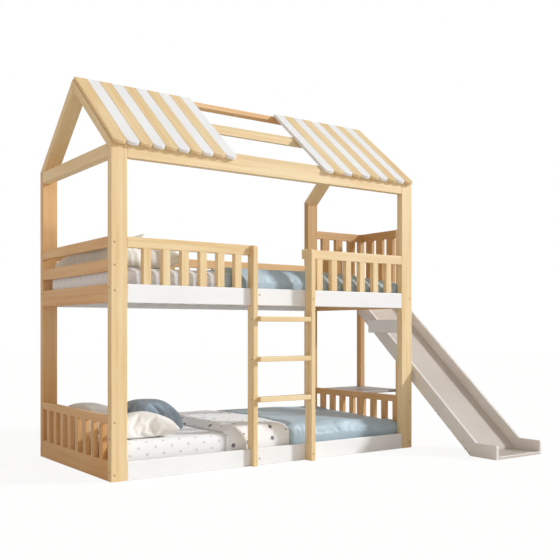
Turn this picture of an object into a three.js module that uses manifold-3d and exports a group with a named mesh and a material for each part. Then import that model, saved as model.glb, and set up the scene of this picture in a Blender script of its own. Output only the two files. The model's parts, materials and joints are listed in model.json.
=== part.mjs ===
// A children's bunk bed with a house-shaped frame, a fixed ladder and a slide.
// Millimetres, Z up. X runs from the head to the slide, Y from the ladder side to the back.
import * as THREE from "three";
import { mergeVertices } from "three/addons/utils/BufferGeometryUtils.js";
import Module from "manifold-3d";

const wasm = await Module();
wasm.setup();

// Joints and edges
const jointGap = 0.3; // between sloping faces that meet, and round soft pieces
const edgeRadius = 3; // eased edges of planed boards
const edgeSteps = 2;
const slatEdgeRadius = 2.5;
const cornerSteps = 5;
const tenonLength = 8; // how far a slat enters its rail
const cutOverrun = 10;

// Frame
const frameLength = 2064;
const frameWidth = 1022;
const postWidth = 88;
const postDepth = 44;
const eaveHeight = 1690; // outer top edge of a post
const roofPitchDegrees = 40;
const rafterDepth = 44;
const tieBeamHeight = 68;
const tieBeamDepth = 44;
const eaveBeamHeight = 73;
const eaveBeamDepth = 44;
const tieBeamDrop = 5; // from the eave height down to the tie beam's top
const ridgeWidth = 40;
const ridgeThickness = 20;
const purlinSetback = 276; // from the front of the posts
const purlinThickness = 27;
const purlinHeight = 35;

// Roof slats
const roofSlatCount = 10; // over each end
const roofSlatWidth = 72;
const roofSlatThickness = 18;
const roofSlatTipRadius = 28;
const roofOverhang = 18; // in front of the posts, along Y
const roofEndMargin = 6; // from the ends of the frame

// Side and end rails
const railThickness = 27;
const sideRailHeight = 94;
const upperBedHeight = 890; // underside of the upper rails
const headRailMiddleHeight = 62;
const headRailMiddleRise = 62; // above the lowest head rail

// Guards of the upper bed
const guardTop = 1221;
const guardRailHeight = 55;
const guardRailThickness = 34;
const guardSlatWidth = 43;
const guardSlatThickness = 32;
const frontGuardSlatCount = 6;
const backGuardSlatCount = 16;

// End panels of the lower bed
const endPanelTop = 326;
const endPanelTopRailHeight = 42;
const endPanelBottomRailHeight = 100;
const endPanelSlatWidth = 43;
const endPanelSlatThickness = 26;
const endPanelSlatCount = 8;

// Bed bases
const ledgerLift = 4; // above the underside of the side rails
const ledgerHeight = 26;
const ledgerThickness = 26;
const baseSlatThickness = 16;
const baseSlatWidth = 70;
const baseSlatCount = 14;

// Ladder
const ladderPosition = 825; // from the head end to the ladder's left rail
const ladderClearWidth = 349;
const ladderRailThickness = 30;
const ladderRailDepth = 60;
const ladderTop = 1218;
const ladderTopRadius = 12;
const leftRailProudness = 29; // how far the notched rail stands in front of the posts
const treadThickness = 28;
const treadDepth = 56;
const treadSetback = 2;
const lowestTreadHeight = 382;
const treadPitch = 223;
const treadCount = 3;

// Play tower
const towerLength = 466; // beyond the foot end of the frame
const towerDepth = 474;
const towerLegSize = 44;
const towerGuardTop = 1484;
const towerGuardRailHeight = 56;
const towerGuardRailThickness = 31;
const towerSlatWidth = 66;
const towerSlatThickness = 30;
const towerSlatCount = 3;
const deckThickness = 18;
const deckBeamHeight = 62;
const shelfHeight = 316;
const shelfThickness = 18;

// Slide
const slideWidth = 417;
const slideEndMargin = 23; // between the frame and the slide
const slideWallThickness = 20;
const slideWallWidth = 90; // square to the slope
const slidePitchDegrees = 40.6;
const slideBendReach = 464; // from the front of the posts to the bend of the slide
const slideFootLength = 197;
const slideFootHeight = 82;
const slideFootRadius = 8;
const footBoardThickness = 18;
const chuteThickness = 15;
const chuteLift = 35; // from the wall's lower edge up to the sliding surface, measured upright
const tieBoardBottom = 733;
const tieBoardHeight = 86;
const tieBoardLength = 394;
const tieBoardOverlap = 20; // on the side of the post

// Bedding
const mattressEndGap = 32; // inside the ends of the frame
const mattressSideGap = 61; // inside its front and back
const mattressThickness = 140;
const mattressEdgeRadius = 35;
const mattressCornerRadius = 60;
const mattressSteps = 4;
const coverHemDrop = 110; // from the mattress's top down to the hem in the gap beside it
const coverHemShare = 0.6; // thickness at the ends, of that beside the mattress
const coverRounding = 160; // length over which an end swells to the full thickness
const quiltStart = 700;
const quiltLength = 430;
const quiltThickness = 48;
const quiltFold = 5;
const lowerCoverThickness = 32;
const upperCoverStart = 684;
const upperCoverThickness = 30;
const coverFold = 7;
const coverEndMargin = 38; // from the foot end of the frame
const foldPitch = 260;
const foldSlantShare = 0.35;
const coverAlong = 16;
const coverHangSteps = 2;
const coverFlatSteps = 10;
const coverAcross = 2 * (coverHangSteps + mattressSteps) + coverFlatSteps;
const pillowPinchShare = 0.12; // how far a side draws in between its corners
const pillowBellyShare = 0.3; // how much of the thickness bulges downwards
const pillowRim = 8;
const pillowCells = 12;
const creamPillow = { width: 370, length: 224, height: 135 };
const creamMiddle = { x: 240, y: 180 };
const palePillowFront = 415; // from the front of the frame to a pillow, and likewise below
const palePillowBack = 137;
const palePillow = { width: 212, length: frameWidth - palePillowFront - palePillowBack, height: 150 };
const paleMiddle = { x: 160, y: palePillowFront + palePillow.length / 2 };
const bluePillow = { width: 300, length: 340, height: 172 };
const blueMiddle = { x: 422, y: 467 };
const upperPillowFront = 90;
const upperPillowBack = 112;
const upperPillow = { width: 400, length: frameWidth - upperPillowFront - upperPillowBack, height: 130 };
const upperPillowMiddle = { x: 245, y: upperPillowFront + upperPillow.length / 2 };
const topPillowFront = 280;
const topPillowBack = 182;
const topPillow = { width: 270, length: frameWidth - topPillowFront - topPillowBack, height: 64 };
const topPillowMiddle = { x: 185, y: topPillowFront + topPillow.length / 2 };

// Materials
const pine = { color: 0xe9c791, roughness: 0.5 };
const whitePaint = { color: 0xf1f0ee, roughness: 0.45 };
const slidePaint = { color: 0xddd8d3, roughness: 0.35 };
const sheetCotton = { color: 0xe9e7e6, roughness: 0.9 };
const quiltCotton = { color: 0xe6e1de, roughness: 0.9 };
const creamCotton = { color: 0xefe6d9, roughness: 0.9 };
const greigeCotton = { color: 0xc9c6ba, roughness: 0.9 };
const blueSatin = { color: 0x93a9b3, roughness: 0.4 };

const roofPitch = THREE.MathUtils.degToRad(roofPitchDegrees);
const slidePitch = THREE.MathUtils.degToRad(slidePitchDegrees);
const ridgeY = frameWidth / 2;
const mattressLength = frameLength - 2 * mattressEndGap;
const mattressWidth = frameWidth - 2 * mattressSideGap;
const innerStart = postWidth;
const innerEnd = frameLength - postWidth;
const towerEnd = frameLength + towerLength;
const deckTop = upperBedHeight + sideRailHeight;
const towerFront = frameWidth - towerDepth;
const slideStart = frameLength + slideEndMargin;
const slideEnd = slideStart + slideWidth;
const ladderLeftEnd = ladderPosition + ladderRailThickness;
const ladderRightStart = ladderLeftEnd + ladderClearWidth;
const slideToe = -slideBendReach - slideFootLength;
const coverSideThickness = mattressSideGap - postDepth - 2 * jointGap;
const coverHem = coverSideThickness * coverHemShare;

// Solids and meshes

function solidOf(geometry) {
  const bare = geometry.clone();
  bare.deleteAttribute("normal");
  bare.deleteAttribute("uv");
  const merged = mergeVertices(bare);
  return new wasm.Manifold(
    new wasm.Mesh({
      numProp: 3,
      vertProperties: merged.attributes.position.array,
      triVerts: new Uint32Array(merged.index.array),
    }),
  );
}

function geometryOf(solid) {
  const mesh = solid.getMesh();
  const geometry = new THREE.BufferGeometry();
  geometry.setAttribute("position", new THREE.BufferAttribute(mesh.vertProperties, mesh.numProp));
  geometry.setIndex(new THREE.BufferAttribute(mesh.triVerts, 1));
  geometry.computeVertexNormals();
  return geometry;
}

function joined(geometries) {
  return geometryOf(geometries.map(solidOf).reduce((whole, piece) => whole.add(piece)));
}

function less(geometry, cutters) {
  return geometryOf(cutters.map(solidOf).reduce((rest, cut) => rest.subtract(cut), solidOf(geometry)));
}

// The two directions of an outline, for each direction that a plate can face.
const outlineAxes = {
  x: ["y", "z"],
  y: ["z", "x"],
  z: ["x", "y"],
};

// The points of an outline with each corner that has a radius r turned into an arc.
function roundedPoints(corners, u, v) {
  return corners.flatMap((corner, i) => {
    const here = new THREE.Vector2(corner[u], corner[v]);
    if (!corner.r) return [here];
    const before = corners.at(i - 1);
    const after = corners[(i + 1) % corners.length];
    const back = new THREE.Vector2(before[u], before[v]).sub(here).normalize();
    const ahead = new THREE.Vector2(after[u], after[v]).sub(here).normalize();
    const half = Math.acos(back.dot(ahead)) / 2;
    const middle = back.clone().add(ahead).normalize().multiplyScalar(corner.r / Math.sin(half)).add(here);
    const start = back.clone().multiplyScalar(corner.r / Math.tan(half)).add(here).sub(middle);
    const end = ahead.clone().multiplyScalar(corner.r / Math.tan(half)).add(here).sub(middle);
    const turn = Math.atan2(start.cross(end), start.dot(end));
    return Array.from({ length: cornerSteps + 1 }, (_, step) =>
      start.clone().rotateAround(new THREE.Vector2(), (turn * step) / cornerSteps).add(middle),
    );
  });
}

// A plate: an outline of corners, with eased edges round both its broad faces.
function plate(facing, corners, from, to, radius = edgeRadius, steps = edgeSteps) {
  const [u, v] = outlineAxes[facing];
  const shape = new THREE.Shape(roundedPoints(corners, u, v));
  const geometry = new THREE.ExtrudeGeometry(shape, {
    depth: to - from - 2 * radius,
    bevelThickness: radius,
    bevelSize: radius,
    bevelOffset: -radius,
    bevelSegments: steps,
    steps: 1,
  });
  const unit = { x: new THREE.Vector3(1, 0, 0), y: new THREE.Vector3(0, 1, 0), z: new THREE.Vector3(0, 0, 1) };
  geometry.translate(0, 0, from + radius);
  return geometry.applyMatrix4(new THREE.Matrix4().makeBasis(unit[u], unit[v], unit[facing]));
}

// A planed board between two opposite corners; its broad faces look along its shortest side.
function board(low, high, radius = edgeRadius, steps = edgeSteps) {
  const facing = ["x", "y", "z"].reduce((a, b) => (high[a] - low[a] <= high[b] - low[b] ? a : b));
  const [u, v] = outlineAxes[facing];
  const corners = [
    { [u]: low[u], [v]: low[v] },
    { [u]: high[u], [v]: low[v] },
    { [u]: high[u], [v]: high[v] },
    { [u]: low[u], [v]: high[v] },
  ];
  return plate(facing, corners, low[facing], high[facing], radius, steps);
}

// Middles of equal pieces spread so that the spaces between their middles are alike.
function evenMiddles(from, to, count) {
  return Array.from({ length: count }, (_, i) => from + ((i + 1) * (to - from)) / (count + 1));
}

// Middles of pieces spread so that the gaps beside them are alike.
function evenGapMiddles(from, to, count, width) {
  return evenMiddles(from - width / 2, to + width / 2, count);
}

const mirrored = (corners) => corners.map((corner) => ({ ...corner, y: frameWidth - corner.y })).reverse();

const bed = new THREE.Group();
const centre = new THREE.Vector3(towerEnd / 2, (frameWidth + slideToe) / 2, 0);
bed.position.copy(centre).negate();

function add(name, geometry, finish) {
  const material = new THREE.MeshStandardMaterial({ ...finish, metalness: 0 });
  const mesh = new THREE.Mesh(geometry, material);
  mesh.name = name;
  bed.add(mesh);
  return mesh;
}

// Frame: posts, rafters and the beams between them

const slopeHeight = (y) => eaveHeight + y * Math.tan(roofPitch);
const undersideHeight = (y, depth) => slopeHeight(y) - depth / Math.cos(roofPitch);

function postOutline() {
  return [
    { y: 0, z: 0 },
    { y: postDepth, z: 0 },
    { y: postDepth, z: undersideHeight(postDepth, rafterDepth) },
    { y: 0, z: eaveHeight },
  ];
}

function rafterOutline() {
  const gapY = jointGap * Math.cos(roofPitch);
  return [
    { y: gapY, z: slopeHeight(gapY) },
    { y: postDepth + gapY, z: undersideHeight(postDepth + gapY, rafterDepth) },
    { y: ridgeY, z: undersideHeight(ridgeY, rafterDepth) },
    { y: ridgeY, z: slopeHeight(ridgeY) },
  ];
}

function addGable(side, from) {
  const to = from + postWidth;
  add(`post_front_${side}`, plate("x", postOutline(), from, to), pine);
  add(`post_back_${side}`, plate("x", mirrored(postOutline()), from, to), pine);
  add(`rafter_front_${side}`, plate("x", rafterOutline(), from, to), pine);
  add(`rafter_back_${side}`, plate("x", mirrored(rafterOutline()), from, to), pine);
}

function addTieBeam() {
  const top = eaveHeight - tieBeamDrop;
  const bottom = top - tieBeamHeight;
  const endTop = Math.min(top, undersideHeight(postDepth, rafterDepth) - jointGap);
  const run = (top - endTop) / Math.tan(roofPitch);
  const front = [
    { y: postDepth, z: bottom },
    { y: postDepth, z: endTop },
    { y: postDepth + run, z: top },
  ];
  const back = mirrored(front);
  add("tie_beam", plate("x", [...front, ...back], 0, tieBeamDepth), pine);
}

function addEaveBeam() {
  const corners = [
    { y: 0, z: eaveHeight - eaveBeamHeight },
    { y: eaveBeamDepth, z: eaveHeight - eaveBeamHeight },
    { y: eaveBeamDepth, z: slopeHeight(eaveBeamDepth) },
    { y: 0, z: eaveHeight },
  ];
  add("eave_beam", plate("x", corners, innerStart, innerEnd), pine);
}

function addPurlin() {
  const top = slopeHeight(purlinSetback);
  const back = purlinSetback + purlinThickness;
  const corners = [
    { y: purlinSetback, z: top - purlinHeight },
    { y: back, z: top - purlinHeight },
    { y: back, z: slopeHeight(back) },
    { y: purlinSetback, z: top },
  ];
  add("purlin", plate("x", corners, innerStart, innerEnd), pine);
}

function addRidgeBatten() {
  const top = slopeHeight(ridgeY);
  const sin = Math.sin(roofPitch);
  const cos = Math.cos(roofPitch);
  const corners = [
    { y: ridgeY, z: top - ridgeThickness / cos },
    { y: ridgeY + ridgeWidth * cos - ridgeThickness * sin, z: top - ridgeWidth * sin - ridgeThickness * cos },
    { y: ridgeY + ridgeWidth * cos, z: top - ridgeWidth * sin },
    { y: ridgeY, z: top },
  ];
  add("ridge_batten", plate("x", corners, innerStart, innerEnd), pine);
}

// Roof slats: made flat, side by side, and laid on the slope

function roofSlat(index) {
  const length = (ridgeY + roofOverhang) / Math.cos(roofPitch);
  const left = index * roofSlatWidth;
  const right = left + roofSlatWidth;
  const radius = Math.min(roofSlatTipRadius, roofSlatWidth / 2 - slatEdgeRadius);
  const corners = [
    { x: left, y: 0, r: radius },
    { x: right, y: 0, r: radius },
    { x: right, y: length },
    { x: left, y: length },
  ];
  return plate("z", corners, 0, roofSlatThickness, slatEdgeRadius, 1);
}

function addRoofSlats(side, start) {
  const slats = Array.from({ length: roofSlatCount }, (_, i) => roofSlat(i));
  const mesh = add(`roof_slats_${side}`, joined(slats), whitePaint);
  mesh.rotation.x = roofPitch;
  const lift = jointGap / Math.cos(roofPitch);
  mesh.position.set(start, -roofOverhang, slopeHeight(-roofOverhang) + lift);
}

// Side rails and end rails

function addSideRails() {
  for (const [level, bottom] of [["lower", 0], ["upper", upperBedHeight]]) {
    for (const [side, y] of [["front", 0], ["back", frameWidth - railThickness]]) {
      const low = { x: innerStart, y, z: bottom };
      const high = { x: innerEnd, y: y + railThickness, z: bottom + sideRailHeight };
      add(`${level}_rail_${side}`, board(low, high), whitePaint);
    }
  }
}

function endRail(x, bottom, height) {
  const low = { x, y: postDepth, z: bottom };
  const high = { x: x + railThickness, y: frameWidth - postDepth, z: bottom + height };
  return board(low, high);
}

function addUpperEndRails() {
  const middle = deckTop + headRailMiddleRise;
  add("head_rail_low", endRail(0, upperBedHeight, sideRailHeight), pine);
  add("head_rail_middle", endRail(0, middle, headRailMiddleHeight), pine);
  add("head_rail_top", endRail(0, guardTop - guardRailHeight, guardRailHeight), pine);
  add("foot_rail", endRail(frameLength - railThickness, upperBedHeight, sideRailHeight), pine);
}

// Guards of the upper bed: a top rail on slats that stand on the side rail

function guard(from, to, y, slatMiddles) {
  const railBottom = guardTop - guardRailHeight;
  const rail = board(
    { x: from, y, z: railBottom },
    { x: to, y: y + guardRailThickness, z: guardTop },
  );
  const inset = (guardRailThickness - guardSlatThickness) / 2;
  const slats = slatMiddles.map((middle) =>
    board(
      { x: middle - guardSlatWidth / 2, y: y + inset, z: deckTop },
      { x: middle + guardSlatWidth / 2, y: y + inset + guardSlatThickness, z: railBottom + tenonLength },
      slatEdgeRadius,
    ),
  );
  return joined([rail, ...slats]);
}

function addGuards() {
  const backY = frameWidth - guardRailThickness;
  const leftMiddles = evenMiddles(innerStart, ladderLeftEnd, frontGuardSlatCount);
  const rightMiddles = evenMiddles(ladderRightStart, innerEnd, frontGuardSlatCount);
  const backMiddles = evenMiddles(innerStart, innerEnd, backGuardSlatCount);
  add("guard_front_left", guard(innerStart, ladderLeftEnd, 0, leftMiddles), pine);
  add("guard_front_right", guard(ladderRightStart, innerEnd, 0, rightMiddles), pine);
  add("guard_back", guard(innerStart, innerEnd, backY, backMiddles), pine);
}

// End panels of the lower bed

function endPanel(x) {
  const from = postDepth;
  const to = frameWidth - postDepth;
  const topBottom = endPanelTop - endPanelTopRailHeight;
  const inset = (railThickness - endPanelSlatThickness) / 2;
  const topRail = board({ x, y: from, z: topBottom }, { x: x + railThickness, y: to, z: endPanelTop });
  const bottomRail = board({ x, y: from, z: 0 }, { x: x + railThickness, y: to, z: endPanelBottomRailHeight });
  const slats = evenGapMiddles(from, to, endPanelSlatCount, endPanelSlatWidth).map((middle) =>
    board(
      { x: x + inset, y: middle - endPanelSlatWidth / 2, z: endPanelBottomRailHeight - tenonLength },
      { x: x + inset + endPanelSlatThickness, y: middle + endPanelSlatWidth / 2, z: topBottom + tenonLength },
      slatEdgeRadius,
    ),
  );
  return joined([topRail, bottomRail, ...slats]);
}

function addEndPanels() {
  add("end_panel_head", endPanel(0), pine);
  add("end_panel_foot", endPanel(frameLength - railThickness), pine);
}

// Bed bases: slats across two ledgers

function bedBase(bottom) {
  const ledgerBottom = bottom + ledgerLift;
  const slatBottom = ledgerBottom + ledgerHeight;
  const inside = { from: railThickness, to: frameWidth - railThickness };
  const ledgers = [inside.from, inside.to - ledgerThickness].map((y) =>
    board(
      { x: innerStart, y, z: ledgerBottom },
      { x: innerEnd, y: y + ledgerThickness, z: slatBottom },
    ),
  );
  const slats = evenGapMiddles(innerStart, innerEnd, baseSlatCount, baseSlatWidth).map((middle) =>
    board(
      { x: middle - baseSlatWidth / 2, y: inside.from, z: slatBottom - slatEdgeRadius },
      { x: middle + baseSlatWidth / 2, y: inside.to, z: slatBottom + baseSlatThickness },
      slatEdgeRadius,
      1,
    ),
  );
  return joined([...ledgers, ...slats]);
}

function addBedBases() {
  add("bed_base_lower", bedBase(0), whitePaint);
  add("bed_base_upper", bedBase(upperBedHeight), whitePaint);
}

// Ladder: the left rail is notched round the side rails and the guard's rail

function addLadderRails() {
  const leftBack = ladderRailDepth - leftRailProudness;
  const left = [
    { y: -leftRailProudness, z: 0 },
    { y: 0, z: 0 },
    { y: 0, z: sideRailHeight },
    { y: leftBack, z: sideRailHeight },
    { y: leftBack, z: upperBedHeight },
    { y: 0, z: upperBedHeight },
    { y: 0, z: deckTop },
    { y: leftBack, z: deckTop },
    { y: leftBack, z: guardTop - guardRailHeight },
    { y: 0, z: guardTop - guardRailHeight },
    { y: 0, z: ladderTop },
    { y: -leftRailProudness, z: ladderTop, r: ladderTopRadius },
  ];
  const right = [
    { y: -ladderRailDepth, z: 0 },
    { y: 0, z: 0 },
    { y: 0, z: ladderTop, r: ladderTopRadius },
    { y: -ladderRailDepth, z: ladderTop, r: ladderTopRadius },
  ];
  add("ladder_rail_left", plate("x", left, ladderPosition, ladderLeftEnd), pine);
  add("ladder_rail_right", plate("x", right, ladderRightStart, ladderRightStart + ladderRailThickness), pine);
}

function addTreads() {
  const y = -ladderRailDepth + treadSetback;
  for (let i = 0; i < treadCount; i++) {
    const top = lowestTreadHeight + i * treadPitch;
    const low = { x: ladderLeftEnd, y, z: top - treadThickness };
    const high = { x: ladderRightStart, y: y + treadDepth, z: top };
    add(`ladder_tread_${i + 1}`, board(low, high), pine);
  }
}

// Play tower: a deck on beams and two legs, guards and a shelf

const legStart = towerEnd - towerLegSize;
const legBack = frameWidth - towerLegSize;

// A panel between the frame and the outer edge of the tower, cut out round the legs it meets.
function towerPanel(front, bottom, top) {
  const panel = board({ x: frameLength, y: front, z: bottom }, { x: towerEnd, y: frameWidth, z: top });
  const notches = [towerFront, legBack].map((y) => {
    const size = new THREE.Vector3(towerLegSize, towerLegSize, top - bottom).addScalar(cutOverrun);
    const box = new THREE.BoxGeometry(size.x, size.y, size.z);
    const outward = y === legBack ? cutOverrun / 2 : -cutOverrun / 2;
    box.translate(legStart + size.x / 2, y + towerLegSize / 2 + outward, (bottom + top) / 2);
    return box;
  });
  return less(panel, notches);
}

function addTowerLegs() {
  for (const [side, y] of [["front", towerFront], ["back", legBack]]) {
    const low = { x: legStart, y, z: 0 };
    const high = { x: towerEnd, y: y + towerLegSize, z: towerGuardTop };
    add(`tower_leg_${side}`, board(low, high), pine);
  }
}

function addDeck() {
  const beamTop = deckTop - deckThickness;
  const beamBottom = beamTop - deckBeamHeight;
  const sides = [["front", towerFront], ["back", frameWidth - railThickness]];
  for (const [side, y] of sides) {
    const low = { x: frameLength, y, z: beamBottom };
    const high = { x: legStart, y: y + railThickness, z: beamTop };
    add(`deck_beam_${side}`, board(low, high), pine);
  }
  const low = { x: towerEnd - railThickness, y: towerFront + towerLegSize, z: beamBottom };
  const high = { x: towerEnd, y: legBack, z: beamTop };
  add("deck_beam_side", board(low, high), pine);
  add("deck", towerPanel(towerFront, beamTop, deckTop), pine);
}

function addShelf() {
  const front = towerFront + towerLegSize;
  add("shelf", towerPanel(front, shelfHeight - shelfThickness, shelfHeight), whitePaint);
}

function addTowerGuards() {
  const railBottom = towerGuardTop - towerGuardRailHeight;
  const slatTop = railBottom + tenonLength;
  const inset = (towerGuardRailThickness - towerSlatThickness) / 2;
  const backY = frameWidth - towerGuardRailThickness;
  const backRail = board(
    { x: frameLength, y: backY, z: railBottom },
    { x: legStart, y: frameWidth, z: towerGuardTop },
  );
  const backEnd = legStart + towerLegSize / 2;
  const backSlats = evenGapMiddles(frameLength, backEnd, towerSlatCount, towerSlatWidth).map((middle) =>
    board(
      { x: middle - towerSlatWidth / 2, y: backY + inset, z: deckTop },
      { x: middle + towerSlatWidth / 2, y: backY + inset + towerSlatThickness, z: slatTop },
      slatEdgeRadius,
    ),
  );
  add("tower_guard_back", joined([backRail, ...backSlats]), pine);
  const sideX = towerEnd - towerGuardRailThickness;
  const sideFront = towerFront + towerLegSize;
  const sideRail = board(
    { x: sideX, y: sideFront, z: railBottom },
    { x: towerEnd, y: legBack, z: towerGuardTop },
  );
  const sideSlats = evenGapMiddles(sideFront, legBack, towerSlatCount, towerSlatWidth).map((middle) =>
    board(
      { x: sideX + inset, y: middle - towerSlatWidth / 2, z: deckTop },
      { x: sideX + inset + towerSlatThickness, y: middle + towerSlatWidth / 2, z: slatTop },
      slatEdgeRadius,
    ),
  );
  add("tower_guard_side", joined([sideRail, ...sideSlats]), pine);
}

// Slide: sloping walls on flat foot walls, with the chute and the foot board between them

const slope = Math.tan(slidePitch);
const wallUnderside = (y) => slope * (y + slideBendReach);
const wallRise = slideWallWidth / Math.cos(slidePitch);

function slideWallOutline() {
  const footY = slideFootHeight / slope - slideBendReach;
  return [
    { y: footY, z: slideFootHeight },
    { y: towerFront, z: wallUnderside(towerFront) },
    { y: towerFront, z: wallUnderside(towerFront) + wallRise },
    { y: footY - wallRise / slope, z: slideFootHeight },
  ];
}

function footWallOutline() {
  return [
    { y: -slideBendReach, z: 0 },
    { y: slideFootHeight / slope - slideBendReach, z: slideFootHeight },
    { y: slideToe, z: slideFootHeight, r: slideFootRadius },
    { y: slideToe, z: 0 },
  ];
}

function addSlideWalls() {
  for (const [side, x] of [["near", slideStart], ["far", slideEnd - slideWallThickness]]) {
    const to = x + slideWallThickness;
    add(`slide_wall_${side}`, plate("x", slideWallOutline(), x, to), slidePaint);
    add(`slide_foot_wall_${side}`, plate("x", footWallOutline(), x, to), slidePaint);
  }
}

function addChute() {
  const surface = (y) => wallUnderside(y) + chuteLift;
  const upright = chuteThickness / Math.cos(slidePitch);
  const floor = footBoardThickness + jointGap;
  const touch = (height) => (height - chuteLift) / slope - slideBendReach;
  const corners = [
    { y: touch(floor), z: floor },
    { y: touch(floor + upright), z: floor },
    { y: towerFront, z: surface(towerFront) - upright },
    { y: towerFront, z: surface(towerFront) },
  ];
  const from = slideStart + slideWallThickness;
  const to = slideEnd - slideWallThickness;
  add("slide_chute", plate("x", corners, from, to, slatEdgeRadius, 1), slidePaint);
  const low = { x: from, y: slideToe, z: 0 };
  const high = { x: to, y: touch(floor + upright), z: footBoardThickness };
  add("slide_foot_board", board(low, high), slidePaint);
}

function addTieBoard() {
  const start = postDepth - tieBoardOverlap;
  const low = { x: frameLength, y: start, z: tieBoardBottom };
  const high = { x: slideStart, y: start + tieBoardLength, z: tieBoardBottom + tieBoardHeight };
  add("slide_tie_board", board(low, high), whitePaint);
}

// Bedding: mattresses, quilts and covers laid over them, and pillows

const mattressTop = (bottom) => bottom + ledgerLift + ledgerHeight + baseSlatThickness + jointGap + mattressThickness;

function mattress(bottom) {
  const x = mattressEndGap;
  const y = mattressSideGap;
  const top = mattressTop(bottom);
  const corners = [
    { x, y, r: mattressCornerRadius },
    { x: x + mattressLength, y, r: mattressCornerRadius },
    { x: x + mattressLength, y: y + mattressWidth, r: mattressCornerRadius },
    { x, y: y + mattressWidth, r: mattressCornerRadius },
  ];
  return plate("z", corners, top - mattressThickness, top, mattressEdgeRadius, mattressSteps);
}

// A point and its outward direction on the arch that a cover follows over the mattress, from hem to hem.
function archPoint(share) {
  const station = Math.min(share, 1 - share) * coverAcross;
  const side = share < 1 / 2 ? -1 : 1;
  const flat = mattressWidth / 2 - mattressEdgeRadius;
  const radius = mattressEdgeRadius + jointGap;
  const hanging = Math.max(0, 1 - station / coverHangSteps);
  const turned = THREE.MathUtils.clamp((station - coverHangSteps) / mattressSteps, 0, 1);
  const inward = Math.max(0, (station - coverHangSteps - mattressSteps) / (coverFlatSteps / 2));
  const angle = (turned * Math.PI) / 2;
  return {
    y: side * (flat * (1 - inward) + radius * Math.cos(angle)),
    z: radius * Math.sin(angle) - mattressEdgeRadius - hanging * (coverHemDrop - mattressEdgeRadius),
    outY: side * Math.cos(angle),
    outZ: Math.sin(angle),
  };
}

// A closed form between two grids of points, each given as a function of two shares.
function shellForm(inner, outer, along, across) {
  const positions = [];
  const index = [];
  const row = across + 1;
  const layer = (along + 1) * row;
  for (const surface of [inner, outer]) {
    for (let i = 0; i <= along; i++) {
      for (let j = 0; j <= across; j++) positions.push(...surface(i / along, j / across));
    }
  }
  const quad = (a, b, c, d) => index.push(a, b, c, a, c, d);
  for (let i = 0; i < along; i++) {
    for (let j = 0; j < across; j++) {
      const a = i * row + j;
      quad(a, a + 1, a + row + 1, a + row);
      quad(layer + a, layer + a + row, layer + a + row + 1, layer + a + 1);
    }
  }
  for (let i = 0; i < along; i++) {
    const a = i * row;
    const b = a + across;
    quad(a, a + row, layer + a + row, layer + a);
    quad(b + row, b, layer + b, layer + b + row);
  }
  for (let j = 0; j < across; j++) {
    const b = along * row + j;
    quad(j + 1, j, layer + j, layer + j + 1);
    quad(b, b + 1, layer + b + 1, layer + b);
  }
  const geometry = new THREE.BufferGeometry();
  geometry.setAttribute("position", new THREE.Float32BufferAttribute(positions, 3));
  geometry.setIndex(index);
  geometry.computeVertexNormals();
  return geometry;
}

function cover(bottom, from, to, thickness, fold) {
  const top = mattressTop(bottom);
  const length = to - from;
  const place = (u, v, lift) => {
    const arch = archPoint(v);
    return [from + u * length, ridgeY + arch.y + arch.outY * lift, top + arch.z + arch.outZ * lift];
  };
  const swell = (u, v) => {
    const arch = archPoint(v);
    const end = Math.min(1, (Math.min(u, 1 - u) * length) / coverRounding);
    const round = Math.sqrt(end * (2 - end));
    const crown = Math.sin(Math.PI * v) ** 2 * arch.outZ;
    const full = coverSideThickness + (thickness - coverSideThickness) * crown;
    const wave = Math.sin((2 * Math.PI * length * (u + foldSlantShare * v)) / foldPitch);
    return coverHem + round * (full - coverHem + fold * crown * wave);
  };
  return shellForm((u, v) => place(u, v, 0), (u, v) => place(u, v, swell(u, v)), coverAlong, coverAcross);
}

// A pillow: crowned above and below, flat where it lies, its sides drawn in between its corners.
function pillow(width, length, height) {
  const outline = (u, v) => {
    const x = 2 * u - 1;
    const y = 2 * v - 1;
    return [
      (width / 2) * x * (1 - pillowPinchShare * (1 - y * y)),
      (length / 2) * y * (1 - pillowPinchShare * (1 - x * x)),
      Math.sqrt((1 - x ** 4) * (1 - y ** 4)),
    ];
  };
  const lower = (u, v) => {
    const [x, y, fullness] = outline(u, v);
    return [x, y, height * pillowBellyShare * (1 - fullness)];
  };
  const upper = (u, v) => {
    const [x, y, fullness] = outline(u, v);
    return [x, y, height * pillowBellyShare + pillowRim + (height * (1 - pillowBellyShare) - pillowRim) * fullness];
  };
  return shellForm(lower, upper, pillowCells, pillowCells);
}

function addMattresses() {
  add("mattress_lower", mattress(0), sheetCotton);
  add("mattress_upper", mattress(upperBedHeight), sheetCotton);
}

function addCovers() {
  const quiltEnd = quiltStart + quiltLength;
  const coverEnd = frameLength - coverEndMargin;
  const lower = cover(0, quiltEnd + jointGap, coverEnd, lowerCoverThickness, coverFold);
  const upper = cover(upperBedHeight, upperCoverStart, coverEnd, upperCoverThickness, coverFold);
  add("quilt_lower", cover(0, quiltStart, quiltEnd, quiltThickness, quiltFold), quiltCotton);
  add("cover_lower", lower, blueSatin);
  add("cover_upper", upper, blueSatin);
}

// Adds a pillow that lies at a height.
function addPillow(name, finish, size, middle, rest) {
  const mesh = add(name, pillow(size.width, size.length, size.height), finish);
  mesh.position.set(middle.x, middle.y, rest + jointGap);
}

function addPillows() {
  const lower = mattressTop(0);
  const upper = mattressTop(upperBedHeight);
  addPillow("pillow_cream", creamCotton, creamPillow, creamMiddle, lower);
  addPillow("pillow_pale", greigeCotton, palePillow, paleMiddle, lower);
  addPillow("pillow_blue", blueSatin, bluePillow, blueMiddle, lower);
  addPillow("pillow_upper", greigeCotton, upperPillow, upperPillowMiddle, upper);
  addPillow("pillow_upper_top", greigeCotton, topPillow, topPillowMiddle, upper + jointGap + upperPillow.height);
}

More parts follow.
